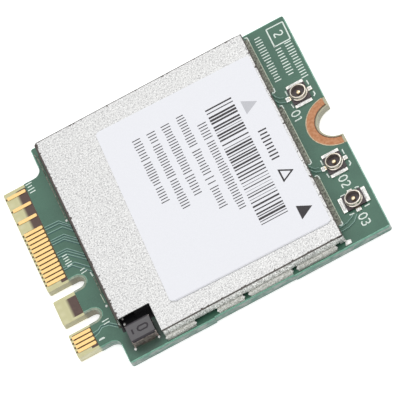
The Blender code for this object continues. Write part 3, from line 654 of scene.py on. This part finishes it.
def traces():
    """Traces in the copper under the resist, shown as painted highlights on their edges and painted shadows
    beside them.
    """
    # Signal traces from the contacts to under the shield: a painted highlight on the edge, and a painted
    # shadow on its flank
    signal = [
        [(2.18, start_y), bend, (4.6, end_y)]
        for start_y, bend, end_y in (
            (4.53, (3.59, 4.47), 3.16), (4.23, (3.58, 4.17), 2.97), (3.74, (3.68, 3.68), 2.52),
            (2.91, (3.52, 2.86), 1.6), (2.65, (3.47, 2.58), 1.35), (2.36, (3.35, 2.36), 0.95),
            (1.35, (3.21, 1.31), -0.3), (1.08, (3.1, 1.07), -0.58), (0.78, (3.0, 0.76), -0.97),
            (-0.38, (3.33, -0.43), -1.9), (-0.64, (3.02, -0.62), -2.45),
        )
    ]
    flanks = [[(x, y - 0.12) for x, y in line] for line in signal]
    signal += [
        [(2.1, -8.25), (2.7, -8.2), (3.0, -7.95), (3.75, -8.0), (4.5, -8.75)],
        [(2.1, -8.72), (2.6, -8.55), (3.05, -8.2), (3.7, -8.3), (4.4, -9.0)],
    ]
    flanks.append([(2.1, -8.5), (2.65, -8.38), (3.02, -8.08), (3.72, -8.15), (4.45, -8.88)])
    # Each antenna line runs from under the shield to its socket between two lit resist edges, drawn as
    # painted highlights with painted shadows beside them
    antenna = [
        [(25.95, 5.72), (26.12, 5.21), (26.38, 4.91), (26.7, 4.77)],
        [(25.9, 4.98), (26.11, 4.57), (26.32, 4.37), (26.8, 4.13)],
        [(25.95, -3.3), (26.15, -3.59), (26.28, -3.75), (26.65, -3.89)],
        [(25.9, -3.68), (26.08, -3.96), (26.27, -4.19), (26.85, -4.4)],
        [(25.9, -10.72), (26.71, -10.61), (27.35, -10.29), (27.5, -10.1)],
        [(25.8, -11.17), (26.64, -11.13), (27.32, -10.87), (27.8, -10.3)],
    ]
    shaded = [[(x - 0.03, y - 0.13) for x, y in line] for line in antenna]
    for name, finish, paths, width, thickness, corner in (
        ("coated_trace_highlights", "trace", signal, 0.08, 0.02, 0.08),
        ("coated_trace_shadows", "trace_shade", flanks, 0.08, 0.02, 0.08),
        ("antenna_line_highlights", "trace", antenna, 0.07, 0.02, 0.35),
        ("antenna_line_shadows", "trace_dark", shaded, 0.14, 0.012, 0.35),
    ):
        drawn(
            name, ribbon, finish, "green_board", COAT, paths,
            Width=width, Thickness=thickness, Corner=corner,
        )


def screw_land():
    """Edges of the bare land: resist drawn thin outside it, a burr of copper inside."""
    land_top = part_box("screw_land_top")[1].z
    turn = [math.radians(96 + 4 * step) for step in range(43)]
    for name, radius, finish in (
        ("land_outer_edge", 2.77, "land_light"), ("land_inner_edge", 1.96, "land_dark"),
    ):
        arc = [(NOTCH_X + radius * math.cos(angle), radius * math.sin(angle)) for angle in turn]
        drawn(name, ribbon, finish, "bare_copper", land_top, [arc], Width=0.09)


def marking():
    """White print on the board: the shield's outline, the figure box, dashes round the
    sockets, plain figures, and rows of plain ticks where the card has printed words."""
    outline = [
        [(26.22, 12.3), (26.27, 6.2)], [(26.27, 3.8), (26.28, -2.8)],
        [(26.3, -4.9), (26.3, -10.4)], [(4.2, -4.9), (4.24, -5.95)],
    ]
    drawn("shield_outline", ribbon, "thin_ink", None, INK, outline, Width=0.08, Thickness=0.008)
    lines = [
        [(28.06, 10.27), (29.68, 10.27), (29.72, 12.38), (28.06, 12.42), (28.06, 10.21)],
        [(25.98, 12.72), (26.2, 12.66), (26.22, 12.2)],
        [(26.27, 6.25), (26.27, 5.82), (26.13, 5.74), (25.97, 5.82)],
        [(26.05, 4.15), (26.25, 4.05), (26.27, 3.65)],
        [(26.28, -2.6), (26.28, -3.02), (26.13, -3.14), (25.96, -3.08)],
        [(25.98, -4.58), (26.16, -4.54), (26.29, -4.76), (26.3, -5.05)],
        [(26.3, -10.2), (26.3, -10.5), (26.15, -10.62), (25.98, -10.45)],
        [(4.22, -2.25), (4.28, -2.75)], [(28.69, -7.71), (28.86, -7.68), (29.07, -7.78)],
        [(27.21, -7.8), (27.67, -7.81)], [(27.19, -10.02), (27.65, -10.08)],
        [(28.72, -9.97), (29.24, -9.96)],
    ]
    for socket in SOCKETS[:2]:
        for dash in (
            [(1.13, 1.03), (1.14, 0.48)], [(-1.03, 1.05), (-1.01, 0.47)],
            [(-1.06, -0.54), (-1.01, -1.05)], [(1.22, -0.4), (1.27, -0.74), (1.08, -0.93)],
        ):
            lines.append([turned_place(x, y, socket) for x, y in dash])
    for digit, x, y, height in (
        ("2", 28.5, 11.65, 0.8), ("0", 26.65, 2.8, 0.78), ("1", 26.65, 2.1, 0.78),
        ("0", 27.78, -5.92, 0.78), ("2", 27.78, -6.62, 0.78), ("0", 27.82, -10.55, 0.78),
        ("3", 27.82, -11.25, 0.78),
    ):
        lines += figure(digit, x, y, height)
    drawn("marking_lines", ribbon, "ink", None, INK, lines, Width=0.13, Thickness=0.014, Corner=0.075)
    ticks = [[(29.3, 10.05), (29.3, 5.75)], [(28.28, 9.85), (28.28, 6.75)], [(26.98, 12.05), (26.98, 6.75)]]
    small_ticks = [
        [(2.55, 9.7), (2.6, 8.7)], [(2.75, 0.72), (2.82, -0.5)], [(3.68, -1.55), (3.72, -1.9)],
        [(3.6, -7.65), (3.62, -7.98)], [(2.62, -9.22), (2.62, -9.3)],
    ]
    for name, paths, step, length, variation, seed in (
        ("marking_ticks", ticks, 0.33, 0.62, 0.2, 3),
        ("marking_small_ticks", small_ticks, 0.3, 0.55, 0.25, 5),
    ):
        drawn(
            name, row, "ink", None, INK, paths, Step=step, Bar_length=length,
            Thickness=0.014, Length_variation=variation, Seed=seed,
        )


def label():
    """The label's edges, and its print: fields of bars and ticks, and three triangles."""
    # The label reaches nearly to the edge of the lid
    reach = [(24.5, -10.54), (25.44, -10.56), (25.56, -10.44), (25.64, 9.7), (25.52, 9.83), (24.5, 9.84)]
    under_print = LABEL_HIGH.z - 0.001 * MM
    plates("label_edge", "label", LABEL_LOW.z, under_print, [reach])
    # The paper is pressed down onto the lid along its front edge
    left, front = on_card(LABEL_LOW)
    drawn(
        "label_pressed_edge", fillet, "label", "label_paper", CAN_HIGH.z - BED,
        [[(left + 0.4, front + 0.322), (25.3, front)]],
        Reach=0.16, Height=(LABEL_HIGH.z - CAN_HIGH.z) / MM, Unevenness=0.0,
    )
    bars = [
        [(21.22, y) for y in bar]
        for bar in (
            (6.5, 6.1), (5.6, 4.9), (4.4, 3.1), (2.75, 2.2), (1.75, 0.4), (0.1, -0.9),
            (-1.35, -2.1), (-2.5, -3.9), (-4.2, -4.9), (-5.35, -6.2), (-6.5, -7.45),
        )
    ]
    words = [
        [(x, y) for y in run]
        for x, runs in (
            (19.1, ((5.45, 3.75), (3.2, -4.8))),
            (17.6, ((7.35, 3.8), (3.1, 0.35), (-0.25, -0.8), (-1.4, -3.7))),
            (16.07, ((7.25, 1.45), (0.95, -1.15))),
            (14.62, ((7.25, 6.2), (5.7, 1.9), (1.4, -1.85))),
            (13.15, ((7.3, 4.9), (4.4, 1.9), (1.4, -0.25))),
        )
        for run in runs
    ]
    heading = [[(23.72, 1.7), (23.68, -1.7)]]
    for name, paths, step, width, length, sizes in (
        ("label_bar_field", bars, 0.3, 0.14, 2.66, {"Width_variation": 0.8, "Seed": 11}),
        ("label_tick_rows", words, 0.31, 0.1, 0.78, {"Length_variation": 0.15, "Seed": 7}),
        ("label_heading_ticks", heading, 0.42, 0.16, 0.8, {"Length_variation": 0.1, "Seed": 2}),
    ):
        drawn(
            name, row, "black", "label_paper", PRINT, paths,
            Step=step, Bar_width=width, Bar_length=length, **sizes,
        )
    for tone, triangle in (
        ("grey", [(23.13, 5.66), (23.14, 4.03), (24.5, 4.82)]),
        ("black", [(23.35, -7.38), (23.35, -9.01), (24.69, -8.16)]),
    ):
        name = "label_triangle_" + tone
        plates(name, tone, LABEL_HIGH.z, PRINT + BED, [triangle])
    drawn(
        "label_triangle_outline", ribbon, "black", "label_paper", PRINT,
        [[(23.42, -3.07), (24.52, -3.73), (23.44, -4.37)]], closed=True, Width=0.32, Thickness=0.004,
    )


def bare_tongue():
    """Buried copper, painted shade between the contacts, plating stubs at the ends of the contacts, slot
    rims, and painted highlights along the slots' resist edges.
    """
    copper = [
        rectangle(1.0, 2.14, 5.0, 9.6), rectangle(1.5, 2.14, -1.75, -1.3),
        rectangle(1.0, 2.14, -5.75, -3.62), rectangle(1.5, 2.14, -9.66, -9.3),
    ]
    between = [rectangle(0.3, 2.14, -1.3, 5.0), rectangle(0.3, 2.14, -9.3, -7.45)]
    low, high = BARE - 2 * BED, BARE + 2 * BED
    plates("buried_copper", "buried", low, high, copper)
    plates("laminate_between_contacts", "between", low, high, between)
    stubs = []
    for name in nodes:
        if name.startswith("contact_") and int(name[8:]) % 2 == 1:
            front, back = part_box(name)
            y = (front.y + back.y) / 2 / MM
            stubs.append(rectangle(0.03, 0.2, y - 0.09, y + 0.09))
    plates("plating_stubs", "stub", low, BARE + 0.02 * MM, stubs)
    rims = [slot_path(y, 0.13) for y in SLOTS]
    lit = [slot_path(y, 0.28)[:-6] for y in SLOTS]
    drawn("slot_bare_rims", ribbon, "rim", "green_board", COAT, rims, Width=0.24, Thickness=0.006)
    drawn("slot_edge_highlights", ribbon, "edge_light", "green_board", COAT, lit, Width=0.05)


def board_edges():
    """Painted highlight along the upper corners of the board, where the pale resist rounds over them."""
    edges = [
        [(4.1, -12.96), (12.4, -12.96)], [(12.5, -12.86), (20.4, -12.86)],
        [(20.5, -12.96), (29.9, -12.96)], [(29.96, -12.8), (29.96, -2.85)],
        [(29.96, 2.85), (29.96, 12.8)], [(29.8, 12.96), (4.2, 12.96)],
        [(4.04, 12.8), (4.04, 10.8)], [(4.04, -10.8), (4.04, -12.8)],
    ]
    drawn(
        "board_edge_highlights", ribbon, "edge_light", "green_board", COAT, edges,
        Width=0.07, Thickness=0.012,
    )


def shield_ground():
    """Bare ground copper beside both ends of the shield, and a painted shadow along the wall."""
    strips = [
        [(25.52, 5.9), (26.22, 5.9), (26.2, 12.5), (25.52, 12.5)],
        [(25.52, -3.0), (26.24, -3.0), (26.22, 4.0), (25.52, 4.0)],
        [(25.52, -10.45), (26.24, -10.45), (26.24, -4.65), (25.52, -4.65)],
    ]
    plates("ground_strips", "flux", COAT - BED, COAT + 0.016 * MM, strips)
    line = [[(4.16, 12.3), (4.28, 11.6), (4.3, 4.3)], [(4.3, -2.9), (4.32, -4.9)]]
    drawn("ground_line", ribbon, "flux", "soldered_end", COAT, line, Thickness=0.03, Corner=0.2)
    # A painted shadow on the board beside the shield's left wall
    by_wall = [[(CAN_LEFT - 0.09, y) for y in (12.0, -9.2)]]
    drawn("shield_left_shadow", ribbon, "painted_shadow", "soldered_end", COAT, by_wall, Width=0.17)


def shield_joints():
    """Solder along the shield's feet, and dots of it by the shield and the inductor."""
    feet = [
        [(x, wall) for x in foot]
        for wall, row_of_feet in (
            (CAN_FRONT, ((7.9, 10.75), (13.05, 15.58), (16.18, 20.42), (21.0, 24.85))),
            (CAN_BACK, ((6.5, 4.9), (12.0, 7.3), (17.5, 12.8), (23.0, 18.3), (25.3, 23.8))),
        )
        for foot in row_of_feet
    ]
    drawn(
        "shield_solder", fillet, "wetted", "soldered_end", COAT, feet,
        Reach=0.4, Height=0.46, Unevenness=0.3, Lump=0.8, Seed=2,
    )
    ends = []
    for (start, y), (stop, _) in feet:
        side = 0.1 if y < 0 else -0.1
        ends += [[(x - 0.14, y - side), (x + 0.14, y - side)] for x in (start, stop)]
    left_feet = [
        [(CAN_LEFT - 0.01, y) for y in foot]
        for foot in ((12.1, 6.4), (5.6, 0.9), (0.1, -4.6), (-5.4, -8.9))
    ]
    drops = [
        [(x - 0.02, y - 0.15), (x + 0.02, y + 0.15)]
        for x, y in (
            (4.27, 4.03), (4.25, -6.37), (5.03, -8.41), (5.0, -9.03), (4.95, -11.98), (7.31, -11.98),
        )
    ]
    # The bright finish paints this solder near white for its glints
    for name, finish, rise, paths, radius, flatness, unevenness, lump, seed in (
        ("shield_solder_ends", "bright", 0.1, ends, 0.13, 1.3, 0.3, 0.3, 6),
        ("shield_solder_left", "solder", 0.0, left_feet, 0.1, 0.9, 0.6, 0.6, 3),
        ("solder_drops", "bright", 0.02, drops, 0.13, 0.9, 0.3, 0.3, 5),
    ):
        drawn(
            name, bead, finish, "soldered_end", COAT + rise * MM, paths,
            Radius=radius, Flatness=flatness, Unevenness=unevenness, Lump=lump, Seed=seed,
        )
    # A small land beside the shield's corner, heaped with solder painted near white for its glints
    land = [(25.68, -12.8), (25.82, -12.28), (26.33, -12.42), (26.28, -12.8)]
    plates("corner_land_solder", "bright", COAT - BED, COAT + 0.07 * MM, [land])


def shield_edge():
    """The lid stands out past the wall at the antenna end, and is folded down at the corner."""
    start, end, bevel = CAN_RIGHT - 0.25, CAN_RIGHT + LIP, 0.06
    front = CAN_FRONT + 0.01
    for name, back, bottom, top in (
        ("shield_lip", CAN_BACK - 0.04, CAN_HIGH.z - 0.2 * MM, CAN_HIGH.z + 0.001 * MM),
        ("shield_corner_fold", front + 0.3, COAT + 0.15 * MM, CAN_HIGH.z - 0.05 * MM),
    ):
        outline = [
            (start, front), (end - bevel, front), (end, front + bevel),
            (end, back - bevel), (end - bevel, back), (start, back),
        ]
        plates(name, "tin", bottom, top, [outline])


def socket_joints():
    """Solder over the feet and tabs of each antenna socket: wetted lands, and the heaps."""
    lands = []
    foot_beads = []
    tab_beads = []
    for socket in SOCKETS:
        for x, y, half_x, half_y in (
            (0.0, 1.12, 0.83, 0.21), (0.0, -1.12, 0.83, 0.21),
            (-1.14, 0.0, 0.17, 0.24), (1.08, 0.0, 0.15, 0.2),
        ):
            corners = rectangle(x - half_x, x + half_x, y - half_y, y + half_y)
            lands.append([turned_place(*corner, socket) for corner in corners])
        for beads, x, y, half_x, half_y in (
            (foot_beads, 0.0, 1.12, 0.74, 0.0), (foot_beads, 0.0, -1.12, 0.74, 0.0),
            (tab_beads, -1.12, 0.0, 0.0, 0.26), (tab_beads, 1.08, 0.0, 0.0, 0.22),
        ):
            ends = ((x - half_x, y - half_y), (x + half_x, y + half_y))
            beads.append([turned_place(*end, socket) for end in ends])
    plates("socket_wetted_lands", "solder", COAT - BED, COAT + 0.125 * MM, lands)
    # The heaps are solder painted near white for its glints
    for name, paths, radius in (
        ("socket_solder", foot_beads, 0.215), ("socket_tab_solder", tab_beads, 0.22),
    ):
        drawn(
            name, bead, "bright", "soldered_end", COAT + 0.02 * MM, paths,
            Radius=radius, Flatness=0.75, Unevenness=0.3, Seed=9,
        )


def inductor():
    """A plain laser mark, painted shade along the top edges over the terminals, and a painted shadow under
    the front terminal.
    """
    low, high = on_card(CORE_LOW), on_card(CORE_HIGH)
    middle_x, middle_y = (low[0] + high[0]) / 2, (low[1] + high[1]) / 2
    bar = ((-0.72, -0.28), (-0.72, 0.28))
    ring = (
        (0.25, 0.25), (0.6, 0.25), (0.75, 0.1), (0.75, -0.1), (0.6, -0.25), (-0.05, -0.25),
        (-0.2, -0.1), (-0.2, 0.1), (-0.05, 0.25), (0.25, 0.25),
    )
    marks = [[(middle_x + x, middle_y + y) for x, y in mark] for mark in (bar, ring)]
    top = CORE_HIGH.z
    drawn("inductor_mark", ribbon, "mark", "ferrite_grey", top, marks, Width=0.17, Thickness=0.006)
    half = (high[0] - low[0]) / 2 - 0.08
    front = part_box("inductor_terminal_front")[0].y / MM
    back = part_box("inductor_terminal_back")[1].y / MM
    # Painted shade along the inductor's top edges, over the terminals
    edge_shades = [
        rectangle(middle_x - half, middle_x + half, start, end)
        for start, end in ((front - 0.02, front + 0.12), (back - 0.12, back + 0.02))
    ]
    plates("inductor_edge_shade", "mark", top - 0.24 * MM, top - 0.03 * MM, edge_shades)
    # A painted shadow on the board under the front terminal
    flux = [
        (middle_x - 0.5, front - 0.1), (middle_x + 0.75, front - 0.14),
        (middle_x + 0.9, front + 0.05), (middle_x - 0.6, front + 0.05),
    ]
    plates("inductor_terminal_shadow", "painted_shadow", COAT - BED, COAT + 0.02 * MM, [flux])


def holes():
    """Holes through the board under the resist, and what lies on the underside: lines from
    the even contacts to a hole each, rows of ground holes, and test lands."""
    tented = [
        [spot]
        for spot in (
            (26.9, 0.6), (27.1, -1.4), (26.8, -2.2), (27.5, 12.3), (29.4, -6.4), (29.3, -11.9),
            (27.2, -12.3), (3.2, 6.4), (3.6, 9.1), (4.2, -10.9), (3.0, -4.6), (3.6, -4.9),
        )
    ]
    lines = []
    for count, name in enumerate(sorted(nodes)):
        if name.startswith("contact_") and int(name[8:]) % 2 == 0:
            low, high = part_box(name)
            y = (low.y + high.y) / 2 / MM
            line = [(2.12, y)]
            if not SLOTS[0] < y < SLOTS[1]:
                lean = math.copysign(0.5, y - SLOTS[0])
                line += [(2.7, y), (3.4, y + lean)]
            lines.append([*line, (4.6 + 0.5 * (count % 3), line[-1][1])])
    line_ends = [line[-1:] for line in lines]
    ground = [[(4.9 + 1.25 * i, side * 12.35)] for i in range(20) for side in (-1, 1)]
    ground += [[(29.35, side * (4.0 + 1.2 * i))] for i in range(7) for side in (-1, 1)]
    ground += [[(13.0 + 1.1 * i, 2.0 - 1.1 * j)] for i in range(5) for j in range(5)]
    test_lands = [[(10.0 + 1.9 * i, 9.6 - 1.9 * j)] for i in range(6) for j in range(2)]
    drawn("tented_holes", disc, "laminate", "green_board", COAT, tented, Radius=0.11, Thickness=0.012)
    drawn("underside_lines", ribbon, "trace", "green_board", 0.0, lines, Corner=0.1)
    for name, finish, slot, paths, radius, thickness in (
        ("underside_line_ends", "trace", "green_board", line_ends, 0.17, 0.024),
        ("underside_ground_holes", "trace_dark", "green_board", ground, 0.14, 0.016),
        ("underside_test_lands", "pin", "gold_plate", test_lands, 0.42, 0.01),
    ):
        drawn(name, disc, finish, slot, 0.0, paths, Radius=radius, Thickness=thickness)


def studio():
    """Plain white floor, a white room, two soft boxes, and the camera."""
    scene = bpy.context.scene
    scene.view_settings.view_transform = "Standard"
    scene.world = bpy.data.worlds.new("white_room")
    scene.world.use_nodes = True
    # Brightest overhead, dimmer towards the horizon
    sky = scene.world.node_tree
    direction = add(sky, "ShaderNodeTexCoord").outputs["Generated"]
    rise = add(sky, SPLIT, {0: direction}).outputs["Z"]
    glow = {"Value": rise, "From Max": 0.75, "To Min": 0.12, "To Max": 0.90}
    room = sky.nodes["Background"].inputs
    room["Color"].default_value = (1.0, 1.0, 1.0, 1.0)
    sky.links.new(add(sky, RANGE, glow).outputs[0], room["Strength"])
    paper = grained("white_backdrop_paper", 0xF7F7F7, 0xFFFFFF, 8.0, 0.9, height_mm=0.0)
    # Lit from below like a light table, so that it stays white beside the card
    shine = paper.node_tree.nodes["Principled BSDF"].inputs
    shine["Emission Color"].default_value = (1.0, 1.0, 1.0, 1.0)
    shine["Emission Strength"].default_value = 0.4
    side = 1.5
    mesh = bpy.data.meshes.new("floor")
    corners = [(x, y, -0.02 * MM) for x, y in rectangle(-side, side, -side, side)]
    mesh.from_pydata(corners, [], [(0, 1, 2, 3)])
    mesh.materials.append(paper)
    floor = linked("floor", mesh)
    for name, place, size, power in (
        ("soft_box_right", (0.35, 0.30, 0.55), 0.9, 2.0),
        ("soft_box_left", (-0.45, -0.15, 0.5), 0.8, 0.85),
    ):
        light = bpy.data.lights.new(name, "AREA")
        light.size = size
        light.energy = power
        lamp = linked(name, light)
        lamp.location = place
        lamp.rotation_euler = Vector(place).to_track_quat("Z", "Y").to_euler()
    lens = bpy.data.cameras.new("camera")
    lens.lens = 529.54
    lens.clip_start = 0.01
    lens.clip_end = 20.0
    camera = linked("camera", lens)
    right = Vector((0.88169, -0.35714, -0.30834))
    up = Vector((0.46957, 0.72803, 0.49948))
    back = Vector((0.04609, -0.58517, 0.8096))
    turn = Matrix((right, up, back)).transposed().to_4x4()
    camera.matrix_world = Matrix.Translation((0.025149, -0.308919, 0.426957)) @ turn
    scene.camera = camera


dress_nodes()
ribbon, row, bead, fillet, disc = (ribbon_tree(), row_tree(), bead_tree(), fillet_tree(), disc_tree())
traces()
screw_land()
marking()
label()
bare_tongue()
board_edges()
shield_ground()
shield_joints()
shield_edge()
socket_joints()
inductor()
holes()
studio()
